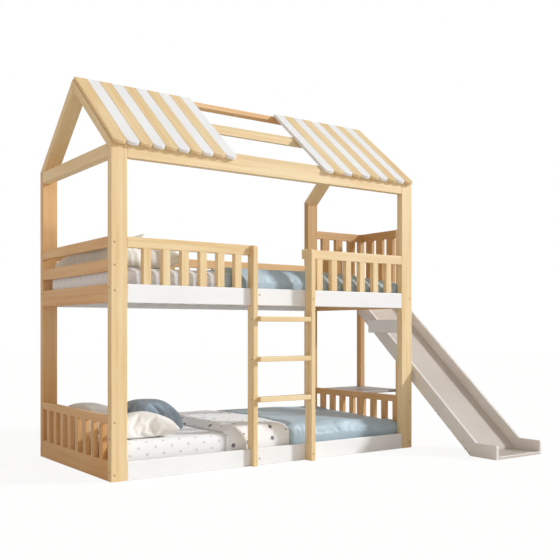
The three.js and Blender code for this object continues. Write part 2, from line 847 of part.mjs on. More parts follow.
addGable("left", 0);
addGable("right", innerEnd);
addTieBeam();
addEaveBeam();
addPurlin();
addRidgeBatten();
addRoofSlats("left", roofEndMargin);
addRoofSlats("right", frameLength - roofEndMargin - roofSlatCount * roofSlatWidth);
addSideRails();
addUpperEndRails();
addGuards();
addEndPanels();
addBedBases();
addLadderRails();
addTreads();
addTowerLegs();
addDeck();
addShelf();
addTowerGuards();
addSlideWalls();
addChute();
addTieBoard();

addMattresses();
addCovers();
addPillows();

export default bed;
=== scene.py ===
# %% [markdown]
# # A children's bunk bed with a house-shaped frame and a slide
#
# This lesson dresses a bunk bed. The exact model gives every rail, slat and board its place.
# Here the timber gets its grain, the paint its sheen, the roof its two kinds of slats, the joints
# their bolts, and the two sleeping places their mattresses, pillows and covers.

# %% Load the exact model
import json
import math

import bmesh
import bpy
import numpy as np
from mathutils import Matrix, Vector, noise


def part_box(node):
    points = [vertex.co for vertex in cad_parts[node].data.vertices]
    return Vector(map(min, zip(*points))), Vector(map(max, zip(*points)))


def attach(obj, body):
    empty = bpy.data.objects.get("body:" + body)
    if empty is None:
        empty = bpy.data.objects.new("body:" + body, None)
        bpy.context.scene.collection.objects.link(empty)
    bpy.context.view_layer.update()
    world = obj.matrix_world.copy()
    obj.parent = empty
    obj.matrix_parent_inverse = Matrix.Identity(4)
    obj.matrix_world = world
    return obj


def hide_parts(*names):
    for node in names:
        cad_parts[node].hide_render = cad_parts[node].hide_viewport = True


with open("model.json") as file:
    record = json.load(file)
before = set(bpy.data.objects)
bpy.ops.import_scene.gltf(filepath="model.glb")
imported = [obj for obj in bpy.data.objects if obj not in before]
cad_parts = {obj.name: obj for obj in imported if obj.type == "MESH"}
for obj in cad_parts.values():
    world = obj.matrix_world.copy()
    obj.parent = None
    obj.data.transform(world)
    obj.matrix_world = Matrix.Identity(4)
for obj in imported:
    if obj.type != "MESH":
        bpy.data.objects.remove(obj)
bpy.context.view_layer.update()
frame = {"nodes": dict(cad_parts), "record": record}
scene = bpy.context.scene
nodes = frame["nodes"]
MM = 0.001

# %% [markdown]
# ## The bed's own measure
#
# The bed's maker counts from the front corner at the head end, on the floor: X along the bed, Y to
# the back. The model has its origin under the middle of the whole object, so one vector takes the
# maker's millimetres there. It comes from the corner of the front post.

# %% From the maker's corner to the model's frame
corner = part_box("post_front_left")[0]


def at(x, y, z):
    """A place given in millimetres from the bed's front head corner."""
    return Vector((corner.x + x * MM, corner.y + y * MM, z * MM))


def add_object(name, data):
    """A new object in the scene."""
    made = bpy.data.objects.new(name, data)
    scene.collection.objects.link(made)
    return made


print("the head corner lies at", [round(value, 4) for value in corner])

# %% [markdown]
# ## Camera
#
# The photograph was taken level, from the height of a table, with the lens shifted a little so that
# the uprights stay upright. A level camera with a vertical shift does the same.

# %% The camera
CAMERA_PLACE = (-1649.2, -3736.4, 760.0)  # the maker's millimetres
CAMERA_TURN = -35.59  # degrees from looking straight at the bed's front
camera_data = bpy.data.cameras.new("camera")
camera_data.lens = 52.106
camera_data.sensor_width = 36.0
camera_data.sensor_fit = "HORIZONTAL"
camera_data.shift_y = 0.08693
camera_data.clip_end = 60.0
camera = add_object("camera", camera_data)
camera.location = at(*CAMERA_PLACE)
camera.rotation_euler = (math.radians(90), 0, math.radians(CAMERA_TURN))
scene.camera = camera
print("the camera stands at", [round(value, 3) for value in camera.location])

# %% [markdown]
# ## Colours and nodes
#
# Colours are written as they look on a screen, in hex, and one function turns them to the linear
# values that a shader mixes. One small function adds a node with its settings and its inputs, which
# may be plain values or the outputs of other nodes.


# %% Colour and node helpers
def linear(hex_colour):
    """The linear colour of an sRGB hex value."""
    parts = [int(hex_colour[i : i + 2], 16) / 255 for i in (1, 3, 5)]
    return (*[c / 12.92 if c <= 0.04045 else ((c + 0.055) / 1.055) ** 2.4 for c in parts], 1.0)


def connect(tree, node, inputs):
    """Sets or links a node's inputs, by name or number."""
    for key, value in inputs.items():
        if isinstance(value, bpy.types.NodeSocket):
            tree.links.new(value, node.inputs[key])
        else:
            node.inputs[key].default_value = value


def add_node(tree, kind, inputs=None, **settings):
    """Adds a node, makes its settings, and sets or links its inputs."""
    made = tree.nodes.new(kind)
    for name, value in settings.items():
        setattr(made, name, value)
    connect(tree, made, inputs or {})
    return made


def new_material(name, roughness):
    """A material with its shader and output, and the object's coordinates."""
    material = bpy.data.materials.new(name)
    material.use_nodes = True
    tree = material.node_tree
    shader = tree.nodes["Principled BSDF"]
    shader.inputs["Roughness"].default_value = roughness
    place = add_node(tree, "ShaderNodeTexCoord").outputs["Object"]
    return material, tree, shader, place


def colour_ramp(tree, factor, stops):
    """Turns a number into a colour, by (position, hex) stops."""
    ramp = add_node(tree, "ShaderNodeValToRGB", {"Fac": factor})
    elements = ramp.color_ramp.elements
    while len(elements) < len(stops):
        elements.new(0.5)
    for element, (position, hex_colour) in zip(elements, stops):
        element.position = position
        element.color = linear(hex_colour)
    return ramp.outputs["Color"]


# %% [markdown]
# ## Pine
#
# The frame is clear-varnished pine: pale honey earlywood with darker latewood lines that run along
# each board, faint at a few metres. Long thin noise makes both: a coarse layer for the broad bands of
# colour in a plank, a fine one for the fibres. Every board is its own piece of a tree, so each gets
# its own stretch of the noise, turned so that the grain follows the board's length. Boards at the back, at
# the ends and along the ridge get warmer, darker tones, and those of the tower's back deeper ones: painted
# shade, for the light that reaches them less than the front.

# %% The grain of one board
GRAIN_BAND, BAND_REACH = 22.0, 700.0  # millimetres across the board and along it, for a broad band
GRAIN_FIBRE, FIBRE_REACH = 2.4, 110.0  # and for a fibre; real ones are finer, but would not show
BAND_SHARE, FIBRE_SHARE, PLANK_SHARE = 0.56, 0.2, 0.34  # what each of them gives to the tone
PLANK_SCALE = 1.7  # slow changes of tone in a metre
PALE_PINE = [(0.36, "#DFB67E"), (0.5, "#E8C894"), (0.62, "#EED3A4"), (0.76, "#F2DBB2")]
# painted shade: darker, warmer tones for boards the light does not reach, and deeper ones for the tower's
# back
PINE_TONES_IN_SHADE = [(0.36, "#D79F62"), (0.5, "#DFAE75"), (0.62, "#E5B983"), (0.76, "#EAC391")]
PINE_TONES_IN_DEEP_SHADE = [(0.36, "#BC8950"), (0.5, "#C4965F"), (0.62, "#CBA16B"), (0.76, "#D1AA77")]
ALONG = {"x": (0, 0, 0), "y": (0, 0, -90), "z": (0, 90, 0)}  # turns that lay the grain on X


def grain(tree, place, turn_degrees, stretch_of_tree):
    """Bands and fibres along one direction: a tone for the colour, and a height for the bump."""
    turned = add_node(
        tree,
        "ShaderNodeMapping",
        {
            "Vector": place,
            "Rotation": [math.radians(angle) for angle in turn_degrees],
            "Location": [stretch_of_tree * share for share in (1.7, 0.61, 0.37)],
        },
    ).outputs["Vector"]

    def streaks(reach, width, detail, waviness):
        scale = (1000 / reach, 1000 / width, 1000 / width)
        thin = add_node(tree, "ShaderNodeMapping", {"Vector": turned, "Scale": scale}).outputs[0]
        inputs = {"Vector": thin, "Scale": 1.0, "Detail": detail, "Distortion": waviness}
        return add_node(tree, "ShaderNodeTexNoise", inputs).outputs["Fac"]

    bands = streaks(BAND_REACH, GRAIN_BAND, 3.0, 0.4)
    fibres = streaks(FIBRE_REACH, GRAIN_FIBRE, 2.0, 0.0)
    inputs = {"Vector": turned, "Scale": PLANK_SCALE, "Detail": 1.0}
    plank = add_node(tree, "ShaderNodeTexNoise", inputs).outputs["Fac"]
    sums = [0.0]
    for part, share in ((fibres, FIBRE_SHARE), (bands, BAND_SHARE), (plank, PLANK_SHARE)):
        inputs = {0: part, 1: share, 2: sums[-1]}
        sums.append(add_node(tree, "ShaderNodeMath", inputs, operation="MULTIPLY_ADD").outputs[0])
    height, tone = sums[2:]
    return tone, height


def pine(name, turn_degrees, stretch_of_tree, slats=None, tones=PALE_PINE):
    """Pine for a board; slats are the heights in metres between which the grain stands upright."""
    material, tree, shader, place = new_material(name, 0.46)
    tone, height = grain(tree, place, turn_degrees, stretch_of_tree)
    if slats:
        upright_tone, _ = grain(tree, place, ALONG["z"], stretch_of_tree + 0.5)
        level = add_node(tree, "ShaderNodeSeparateXYZ", {0: place}).outputs["Z"]
        inputs = {0: level, 1: (slats[1] + slats[0]) / 2, 2: (slats[1] - slats[0]) / 2}
        upright = add_node(tree, "ShaderNodeMath", inputs, operation="COMPARE").outputs[0]
        inputs = {"Factor": upright, "A": tone, "B": upright_tone}
        tone = add_node(tree, "ShaderNodeMix", inputs).outputs["Result"]
    inputs = {"Height": height, "Strength": 0.12, "Distance": 0.0006}
    bump = add_node(tree, "ShaderNodeBump", inputs).outputs[0]
    connect(tree, shader, {"Base Color": colour_ramp(tree, tone, tones), "Normal": bump})
    return material


# %% [markdown]
# ## Which way each board was cut
#
# A board's grain follows its length, so the longest side of a part's box gives the direction. Rafters
# lie on the slope of the roof. Guards and end panels are one part each, rails with upright slats
# between them, so their finish changes its grain where the slats begin and end.

# %% Finish every wooden part
ROOF_PITCH = 40.0
# boards that get painted shade: at the back, the end panels and their rails, the ridge batten, and deeper
# on the tower's back
PARTS_IN_SHADE = ("post_back_left", "end_panel", "head_rail", "foot_rail", "guard_back", "ridge_batten")
PARTS_IN_DEEP_SHADE = ("post_back_right", "tower_guard", "tower_leg_back")
# direction of the rails, and the heights between which the slats stand, in millimetres
GRILLES = {
    "guard_front_left": ("x", 984, 1166),
    "guard_front_right": ("x", 984, 1166),
    "guard_back": ("x", 984, 1166),
    "end_panel_head": ("y", 100, 284),
    "end_panel_foot": ("y", 100, 284),
    "tower_guard_back": ("x", 984, 1428),
    "tower_guard_side": ("y", 984, 1428),
}


def finish_with(node_name, material):
    """Gives one carried-over part its finish."""
    slots = nodes[node_name].data.materials
    slots.clear()
    slots.append(material)


slot_of = {entry["node"]: entry["material_slot"] for entry in frame["record"]["subparts"]}
wooden = sorted(node_name for node_name, slot_name in slot_of.items() if slot_name == "pine")
for number, node_name in enumerate(wooden):
    low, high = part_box(node_name)
    size = high - low
    turn = ALONG["xyz"[max(range(3), key=lambda axis: size[axis])]]
    slats = None
    if node_name.startswith("rafter"):
        turn = (-ROOF_PITCH if "front" in node_name else ROOF_PITCH, 0, -90)
    if node_name in GRILLES:
        rail, start, end = GRILLES[node_name]
        turn, slats = ALONG[rail], (start * MM, end * MM)
    # boards that stand in shade get their darker tones: painted shade
    tones = PINE_TONES_IN_SHADE if node_name.startswith(PARTS_IN_SHADE) else PALE_PINE
    tones = PINE_TONES_IN_DEEP_SHADE if node_name.startswith(PARTS_IN_DEEP_SHADE) else tones
    finish_with(node_name, pine("pine_" + node_name, turn, number, slats, tones))
print(len(wooden), "parts of pine")

# %% [markdown]
# ## Paint
#
# The side rails and every second roof slat are painted white. The shelf is white, painted grey here as
# painted shade, for the shade it lies in. The slide has a warm beige chute between paler walls, its beige
# darkened further as painted shade, for the shade of its far wall. All are sprayed satin coats on smooth
# board: the colour is even, with a trace of dust and handling, and a faint orange-peel in the gloss.


# %% Sprayed paint
CLOUDS, RIPPLES = 3.0, 260.0  # to the metre: broad traces of handling, and the orange-peel's bumps


def sprayed_paint(name, hex_colour, shade_hex, roughness, peel):
    """A sprayed coat; peel is the strength of its orange-peel."""
    material, tree, shader, place = new_material(name, roughness)
    inputs = {"Vector": place, "Scale": CLOUDS, "Detail": 4.0}
    cloud = add_node(tree, "ShaderNodeTexNoise", inputs).outputs["Fac"]
    colour = colour_ramp(tree, cloud, [(0.3, shade_hex), (0.6, hex_colour)])
    ripple = add_node(tree, "ShaderNodeTexNoise", {"Vector": place, "Scale": RIPPLES}).outputs["Fac"]
    inputs = {"Height": ripple, "Strength": peel, "Distance": 0.0003}
    bump = add_node(tree, "ShaderNodeBump", inputs).outputs[0]
    connect(tree, shader, {"Base Color": colour, "Normal": bump})
    return material


white_paint = sprayed_paint("white_satin_paint", "#F4F2F0", "#EEECEA", 0.42, 0.10)
# the chute's beige is partly its own colour and partly painted shade, for the shade of the slide's far wall
slide_paint = sprayed_paint("chute_beige_and_painted_shade", "#CFC3B9", "#C7BAB0", 0.34, 0.06)
wall_paint = sprayed_paint("pale_slide_paint", "#E8E3DE", "#E1DBD5", 0.34, 0.06)
# the shelf's grey is painted shade: its white paint darkened for the shade it lies in
shelf_paint_in_shade = sprayed_paint("shelf_white_with_painted_shade", "#A39A93", "#9B918A", 0.42, 0.10)
for node_name, slot_name in slot_of.items():
    if slot_name == "white_paint":
        finish_with(node_name, shelf_paint_in_shade if node_name == "shelf" else white_paint)
    if slot_name == "slide_paint":
        finish_with(node_name, wall_paint if "wall" in node_name else slide_paint)

# %% [markdown]
# ## Roof slats
#
# Each end of the roof is ten boards laid side by side up the slope, by turns bare pine and white
# paint, with their lower corners rounded. They repeat at an even pitch, so Geometry Nodes lay them: a
# line of points, one slat on each, and a seeded hair's breadth of difference between neighbours.


# %% One slat, and the tree that repeats it
def finished(shape, name):
    """The plain mesh of a bmesh, its faces looking outwards."""
    bmesh.ops.recalc_face_normals(shape, faces=shape.faces)
    mesh = bpy.data.meshes.new(name)
    shape.to_mesh(mesh)
    shape.free()
    return mesh


def board_mesh(name, outline, thickness, edge, steps):
    """A flat board from its outline, in metres, with rounded long edges."""
    shape = bmesh.new()
    face = shape.faces.new([shape.verts.new((x, y, 0)) for x, y in outline])
    raised = bmesh.ops.extrude_face_region(shape, geom=[face])
    for element in raised["geom"]:
        if isinstance(element, bmesh.types.BMVert):
            element.co.z = thickness
    rim = [e for e in shape.edges if abs(e.verts[0].co.z - e.verts[1].co.z) < 1e-9]
    bmesh.ops.bevel(shape, geom=rim, offset=edge, segments=steps, profile=0.5, affect="EDGES")
    return finished(shape, name)


def rounded_tip(width, length, radius, steps=6):
    """A slat's outline: square at the ridge, round at the eave."""
    points = [(width, length), (0, length)]
    for corner_x, start in ((radius, 180), (width - radius, 270)):
        for step in range(steps + 1):
            angle = math.radians(start + 90 * step / steps)
            points.append((corner_x + radius * math.cos(angle), radius + radius * math.sin(angle)))
    return points


def new_tree(name, **kinds):
    """A Geometry Nodes tree with inputs of these kinds; returns it and what it will be given."""
    tree = bpy.data.node_groups.new(name, "GeometryNodeTree")
    for socket_name, kind in kinds.items():
        tree.interface.new_socket(socket_name, in_out="INPUT", socket_type="NodeSocket" + kind)
    tree.interface.new_socket("Geometry", in_out="OUTPUT", socket_type="NodeSocketGeometry")
    return tree, add_node(tree, "NodeGroupInput").outputs


def hand_out(tree, copies, finish):
    """Makes a tree's copies real, gives them their material and hands them out."""
    real = add_node(tree, "GeometryNodeRealizeInstances", {"Geometry": copies}).outputs[0]
    done = add_node(tree, "GeometryNodeSetMaterial", {"Geometry": real, "Material": finish}).outputs[0]
    add_node(tree, "NodeGroupOutput", {0: done})
    return tree


def repeat_tree():
    """Geometry Nodes: copies of a piece along X, with a little play between them."""
    kinds = {"Piece": "Object", "Count": "Int", "Pitch": "Float", "Play": "Float", "Seed": "Int"}
    tree, given = new_tree("slats_along_x", **kinds, Finish="Material")
    step = add_node(tree, "ShaderNodeCombineXYZ", {"X": given["Pitch"]}).outputs[0]
    line = add_node(tree, "GeometryNodeMeshLine", {"Count": given["Count"], "Offset": step}).outputs[0]
    piece = add_node(tree, "GeometryNodeObjectInfo", {"Object": given["Piece"]}).outputs["Geometry"]
    inputs = {0: (-1.0, -1.0, 0.0), 1: (1.0, 1.0, 1.0), "Seed": given["Seed"]}
    play = add_node(tree, "FunctionNodeRandomValue", inputs, data_type="FLOAT_VECTOR").outputs[0]
    inputs = {0: play, 3: given["Play"]}
    shift = add_node(tree, "ShaderNodeVectorMath", inputs, operation="SCALE").outputs[0]
    placed = add_node(tree, "GeometryNodeSetPosition", {"Geometry": line, "Offset": shift}).outputs[0]
    inputs = {"Points": placed, "Instance": piece}
    copies = add_node(tree, "GeometryNodeInstanceOnPoints", inputs).outputs[0]
    return hand_out(tree, copies, given["Finish"])


def run_tree(name, tree, mesh=None, **values):
    """Runs a tree on a mesh, an empty one if none is given, and keeps the plain result."""
    holder = add_object(name, mesh or bpy.data.meshes.new(name))
    modifier = holder.modifiers.new("nodes", "NODES")
    modifier.node_group = tree
    for item in tree.interface.items_tree:
        if item.name in values:
            modifier[item.identifier] = values[item.name]
    bpy.context.view_layer.update()
    evaluated = holder.evaluated_get(bpy.context.evaluated_depsgraph_get())
    plain = bpy.data.meshes.new_from_object(evaluated)
    holder.modifiers.clear()
    holder.data = plain
    return holder


# the frame, in millimetres
FRAME_LENGTH, FRAME_WIDTH, EAVE_HEIGHT = 2064.0, 1022.0, 1690.0
ROOF_OVERHANG, END_MARGIN = 18.0, 6.0  # past the front of the frame, and in from its two ends
# the slats' size, the rounding of their lower corners and their edges, and the gap between them
SLAT_COUNT, SLAT_WIDTH, SLAT_THICKNESS = 10, 72.0, 18.0
SLAT_TIP, SLAT_EDGE, SLAT_GAP = 28.0, 1.8, 0.8
SLAT_PLAY, SLAT_LIFT = 0.3, 0.05  # how unevenly they lie, and how far above the rafters
pitch = math.radians(ROOF_PITCH)
slat_length = (FRAME_WIDTH / 2 + ROOF_OVERHANG) / math.cos(pitch)
slat_outline = rounded_tip((SLAT_WIDTH - SLAT_GAP) * MM, slat_length * MM, SLAT_TIP * MM)
slat_mesh = board_mesh("slat", slat_outline, SLAT_THICKNESS * MM, SLAT_EDGE * MM, 3)
slat = bpy.data.objects.new("slat", slat_mesh)
slats_along_x = repeat_tree()
slat_pine = pine("pine_roof_slats", (-ROOF_PITCH, 0, -90), 71)
eave = EAVE_HEIGHT - ROOF_OVERHANG * math.tan(pitch)
right_start = FRAME_LENGTH - END_MARGIN - SLAT_COUNT * SLAT_WIDTH
for side, start, finishes in (
    ("left", END_MARGIN, ("pine", "white")),
    ("right", right_start, ("white", "pine")),
):
    for order, finish in enumerate(finishes):
        wood = finish == "pine"
        piece = run_tree(
            f"roof_slats_{side}_{finish}",
            slats_along_x,
            Piece=slat,
            Count=SLAT_COUNT // 2,
            Pitch=2 * SLAT_WIDTH * MM,
            Play=SLAT_PLAY * MM,
            Seed=7 + order,
            Finish=slat_pine if wood else white_paint,
        )
        foot = at(start + order * SLAT_WIDTH + SLAT_GAP / 2, -ROOF_OVERHANG, eave + SLAT_LIFT)
        piece.data.transform(Matrix.Translation(foot) @ Matrix.Rotation(pitch, 4, "X"))
        piece.data.update()
        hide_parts(f"roof_slats_{side}")
        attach(piece, "root")
bpy.data.objects.remove(slat)
print(2 * SLAT_COUNT, "roof slats")

# %% [markdown]
# ## Bolts
#
# The frame is put together with countersunk bolts with a hexagon socket, nickel-plated, their heads
# flush with the wood. Their places were read from the photograph where it shows them, and repeated on
# the posts that it hides. Geometry Nodes set one head on each point, turned to the face that it enters.

# %% A bolt head
nickel, nickel_tree, nickel_shader, nickel_place = new_material("nickel_plated_steel", 0.32)
wear = add_node(nickel_tree, "ShaderNodeTexNoise", {"Vector": nickel_place, "Scale": 900.0}).outputs["Fac"]
inputs = {"Height": wear, "Strength": 0.05, "Distance": 0.0001}
bump = add_node(nickel_tree, "ShaderNodeBump", inputs).outputs[0]
connect(nickel_tree, nickel_shader, {"Base Color": linear("#8F887C"), "Metallic": 1.0, "Normal": bump})
HEAD_SIDES = 24  # of the round head, a multiple of the socket's six


def bolt_head(radius, proud, socket_radius, depth):
    """A low round head with a hexagon socket, its foot at the origin, looking along Z."""
    shape = bmesh.new()
    rings = []
    for ring_radius, height, hexagon in (
        (radius, -0.5 * MM, False),
        (radius, proud * 0.4, False),
        (radius * 0.86, proud, False),
        (socket_radius * 1.25, proud, False),
        (socket_radius, proud, True),
        (socket_radius, proud - depth, True),
    ):
        ring = []
        for step in range(HEAD_SIDES):
            angle = math.tau * step / HEAD_SIDES
            reach = ring_radius
            if hexagon:
                reach *= math.cos(math.pi / 6) / math.cos((angle % (math.pi / 3)) - math.pi / 6)
            ring.append(shape.verts.new((reach * math.cos(angle), reach * math.sin(angle), height)))
        rings.append(ring)
    for inner, outer in zip(rings[1:], rings):
        for step in range(HEAD_SIDES):
            after = (step + 1) % HEAD_SIDES
            shape.faces.new((outer[step], outer[after], inner[after], inner[step]))
    shape.faces.new(rings[-1])
    shape.faces.new(rings[0][::-1])
    return bpy.data.objects.new("bolt_head", finished(shape, "bolt_head"))


def bolt_tree():
    """Geometry Nodes: a head on every point of a mesh, looking along the point's own direction."""
    kinds = {"Geometry": "Geometry", "Head": "Object", "Seed": "Int", "Finish": "Material"}
    tree, given = new_tree("bolts_on_points", **kinds)
    inputs = {"Name": "facing"}
    facing = add_node(tree, "GeometryNodeInputNamedAttribute", inputs, data_type="FLOAT_VECTOR").outputs[0]
    turn = add_node(tree, "FunctionNodeAlignRotationToVector", {"Vector": facing}, axis="Z").outputs[0]
    inputs = {2: 0.0, 3: math.tau, "Seed": given["Seed"]}
    spin = add_node(tree, "FunctionNodeRandomValue", inputs, data_type="FLOAT").outputs[1]
    own = add_node(tree, "ShaderNodeCombineXYZ", {"Z": spin}).outputs[0]
    own_turn = add_node(tree, "FunctionNodeEulerToRotation", {0: own}).outputs[0]
    head = add_node(tree, "GeometryNodeObjectInfo", {"Object": given["Head"]}).outputs["Geometry"]
    inputs = {0: turn, 1: own_turn}
    both = add_node(tree, "FunctionNodeRotateRotation", inputs, rotation_space="LOCAL").outputs[0]
    inputs = {"Points": given["Geometry"], "Instance": head, "Rotation": both}
    copies = add_node(tree, "GeometryNodeInstanceOnPoints", inputs).outputs[0]
    return hand_out(tree, copies, given["Finish"])


# %% Where the bolts are
POST_BOLT, RAIL_BOLT = 19.0, 22.0  # in from the frame's edges: bolts in its long sides, and its ends
FIRST_TREAD, TREAD_STEP, TREAD_BOLT = 382.0, 223.0, 14.0  # the bolts sit this far below a tread's top
SLIDE_FACE, SLIDE_FAR_FACE = 2087.0, 2504.0  # outer faces of the slide's walls
front, left, rear, right = (0, -1, 0), (-1, 0, 0), (0, 1, 0), (1, 0, 0)
bolts = []
for x, heights in ((POST_BOLT, (33, 293, 950, 1077, 1190)), (FRAME_LENGTH - POST_BOLT, (33, 293, 950))):
    for z in heights:
        bolts += [(x, 0.0, z, front), (x, FRAME_WIDTH, z, rear)]
for z in (47, 211, 967):
    for y in (RAIL_BOLT, FRAME_WIDTH - RAIL_BOLT):
        bolts += [(0.0, y, z, left), (FRAME_LENGTH, y, z, right)]
# the side rails on both sides of the ladder, the ladder's right rail, its treads, the slide's foot
bolts += [(x, 0.0, z, front) for x in (885.0, 1262.0) for z in (36, 947)]
bolts += [(1219.0, -60.0, z, front) for z in (40, 930)]
for step in range(3):
    height = FIRST_TREAD + TREAD_STEP * step - TREAD_BOLT
    bolts += [(825.0, -12.0, height, left), (1234.0, -30.0, height, right)]
for y, z in ((-186, 248), (-210, 227), (-430, 41), (-457, 18)):
    bolts += [(SLIDE_FACE, y, z, left), (SLIDE_FAR_FACE, y, z, right)]
points = bpy.data.meshes.new("bolt_points")
points.from_pydata([at(x, y, z) for x, y, z, _ in bolts], [], [])
facing = points.attributes.new("facing", "FLOAT_VECTOR", "POINT")
for number, bolt in enumerate(bolts):
    facing.data[number].vector = bolt[3]
head = bolt_head(5.0 * MM, 0.7 * MM, 2.6 * MM, 2.4 * MM)
bolt_piece = run_tree("frame_bolts", bolt_tree(), points, Head=head, Seed=5, Finish=nickel)
bpy.data.objects.remove(head)
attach(bolt_piece, "root")
print(len(bolts), "bolts")

# %% [markdown]
# ## Cloth
#
# The mattresses are in white cotton with small grey dots, cooler on the upper bed. The quilt is pale
# cotton with dark stars, the pillows are cream, grey-beige and slate cotton, and the covers grey-blue
# satin. A printed pattern follows its cloth, so these read the piece's own flat map, which is in
# metres. Their weave is too fine for this picture, and is drawn far coarser, as a faint relief.


# %% Woven cloth
WEAVE = 7.54  # millimetres between drawn threads; the real ones are about 0.4 and would not show
WAVES = 20 / math.tau  # that Blender's wave texture draws in one unit at scale 1


def woven(name, roughness=0.85, sheen=0.2):
    """A cloth's shader with its weave and small creases; the colour comes after."""
    material, tree, shader, place = new_material(name, roughness)
    flat = add_node(tree, "ShaderNodeUVMap", uv_map="cloth").outputs["UV"]
    inputs = {"Vector": flat, "Scale": 1000 / WEAVE / WAVES, "Distortion": 1.5}
    waves = [add_node(tree, "ShaderNodeTexWave", inputs, bands_direction=way) for way in "XY"]
    threads = {number: wave.outputs["Fac"] for number, wave in enumerate(waves)}
    weave = add_node(tree, "ShaderNodeMath", threads, operation="ADD").outputs[0]
    inputs = {"Vector": place, "Scale": 14.0, "Detail": 4.0}
    crease = add_node(tree, "ShaderNodeTexNoise", inputs).outputs["Fac"]
    inputs = {"Height": weave, "Strength": 0.3, "Distance": 0.0002}
    fine = add_node(tree, "ShaderNodeBump", inputs).outputs[0]
    inputs = {"Height": crease, "Strength": 0.25, "Distance": 0.006, "Normal": fine}
    soft = add_node(tree, "ShaderNodeBump", inputs).outputs[0]
    connect(tree, shader, {"Sheen Weight": sheen, "Sheen Roughness": 0.4, "Normal": soft})
    return material, tree, shader, flat


def plain_cloth(name, hex_colour, shade_hex, roughness=0.85, sheen=0.2):
    """A cloth of one colour that wanders a little."""
    material, tree, shader, flat = woven(name, roughness, sheen)
    inputs = {"Vector": flat, "Scale": 5.0, "Detail": 3.0}
    cloud = add_node(tree, "ShaderNodeTexNoise", inputs).outputs["Fac"]
    colour = colour_ramp(tree, cloud, [(0.3, shade_hex), (0.65, hex_colour)])
    connect(tree, shader, {"Base Color": colour})
    return material


def print_on(tree, shader, inside, ground_hex, print_hex):
    """Colours a cloth by whether a point is inside its print."""
    inputs = {0: inside, 6: linear(ground_hex), 7: linear(print_hex)}
    mix = add_node(tree, "ShaderNodeMix", inputs, data_type="RGBA").outputs[2]
    connect(tree, shader, {"Base Color": mix})


def dotted_cotton(name, ground_hex, dot_hex, across, up, radius):
    """Dots in a staggered grid: across and up are the distances in a row and in a column, in mm."""
    material, tree, shader, flat = woven(name)
    closer = math.sqrt(2)  # a staggered grid is an upright one turned by half a right angle
    scale = (closer * 1000 / across, closer * 1000 / up, 1)
    inputs = {"Vector": flat, "Scale": scale, "Rotation": (0, 0, math.radians(45))}
    grid = add_node(tree, "ShaderNodeMapping", inputs).outputs[0]
    inputs = {"Vector": grid, "Scale": 1.0, "Randomness": 0.04}
    cell = add_node(tree, "ShaderNodeTexVoronoi", inputs, voronoi_dimensions="2D").outputs["Distance"]
    edge = radius * closer / ((across + up) / 2)
    inputs = {"Value": cell, "From Min": edge * 0.8, "From Max": edge, "To Min": 1.0, "To Max": 0.0}
    inside = add_node(tree, "ShaderNodeMapRange", inputs).outputs["Result"]
    print_on(tree, shader, inside, ground_hex, dot_hex)
    return material


def starry_cotton(name, ground_hex, star_hex, spacing, radius):
    """Five-pointed stars and dots, strewn about a spacing apart, in mm."""
    material, tree, shader, flat = woven(name)
    inputs = {"Vector": flat, "Scale": (1000 / spacing,) * 3}
    spread = add_node(tree, "ShaderNodeMapping", inputs).outputs[0]
    inputs = {"Vector": spread, "Scale": 1.0, "Randomness": 0.7}
    cell = add_node(tree, "ShaderNodeTexVoronoi", inputs, voronoi_dimensions="2D").outputs
    inputs = {0: spread, 1: cell["Position"]}
    away = add_node(tree, "ShaderNodeVectorMath", inputs, operation="SUBTRACT").outputs[0]
    parts = add_node(tree, "ShaderNodeSeparateXYZ", {0: away}).outputs
    # a cell's own colour says how far its star is turned, and whether it holds a star or a small dot
    kind = add_node(tree, "ShaderNodeSeparateColor", {0: cell["Color"]}).outputs
    inputs = {"Value": kind["Green"], "From Min": 0.35, "From Max": 0.5, "To Min": 0.45}
    size = add_node(tree, "ShaderNodeMapRange", inputs).outputs["Result"]
    made = {"x": parts["X"], "y": parts["Y"], "red": kind["Red"], "green": kind["Green"], "size": size}
    for name, operation, *values in (
        ("angle", "ARCTAN2", "y", "x"),
        ("turned", "MULTIPLY_ADD", "red", math.tau, "angle"),
        ("five", "MULTIPLY", "turned", 5.0),
        ("points", "COSINE", "five"),
        ("spiky", "GREATER_THAN", "green", 0.45),
        ("spike", "MULTIPLY", "points", "spiky"),
        ("reach", "MULTIPLY_ADD", "spike", 0.2 * radius / spacing, 0.8 * radius / spacing),
        ("limit", "MULTIPLY", "reach", "size"),
    ):
        inputs = {key: made.get(value, value) for key, value in enumerate(values)}
        made[name] = add_node(tree, "ShaderNodeMath", inputs, operation=operation).outputs[0]
    inputs = {0: cell["Distance"], 1: made["limit"]}
    inside = add_node(tree, "ShaderNodeMath", inputs, operation="LESS_THAN").outputs[0]
    print_on(tree, shader, inside, ground_hex, star_hex)
    return material


sheet_cotton = dotted_cotton("dotted_sheet_cotton", "#F3F1F0", "#D8D4D1", 96.5, 75.0, 9.0)
cool_sheet_cotton = dotted_cotton("cool_sheet_cotton", "#EFF1F7", "#DCDDE4", 96.5, 75.0, 9.0)
quilt_cotton = starry_cotton("starry_quilt_cotton", "#F6F4F3", "#7B757B", 92.0, 15.0)
cream_cotton = plain_cloth("cream_cotton", "#EEEAE4", "#E6E0D8")
greige_cotton = plain_cloth("greige_cotton", "#EEECE6", "#E5E2D9")
blue_satin = plain_cloth("grey_blue_satin", "#B2C3CC", "#A6B8C2", 0.5, 0.15)
slate_cotton = plain_cloth("slate_blue_cotton", "#A2B0BB", "#7B8994", 0.7, 0.2)

# %% [markdown]
# ## Soft pieces and their simulation
#
# A stuffed case is cut flat and then filled, and that is what gives it its puckers. So each soft
# piece starts as a thin closed mesh, and Blender's cloth blows it up with a little pressure, while
# a slight growth of the cloth makes it buckle into folds. How far a point may go is capped, and what
# lies on the bed is held.


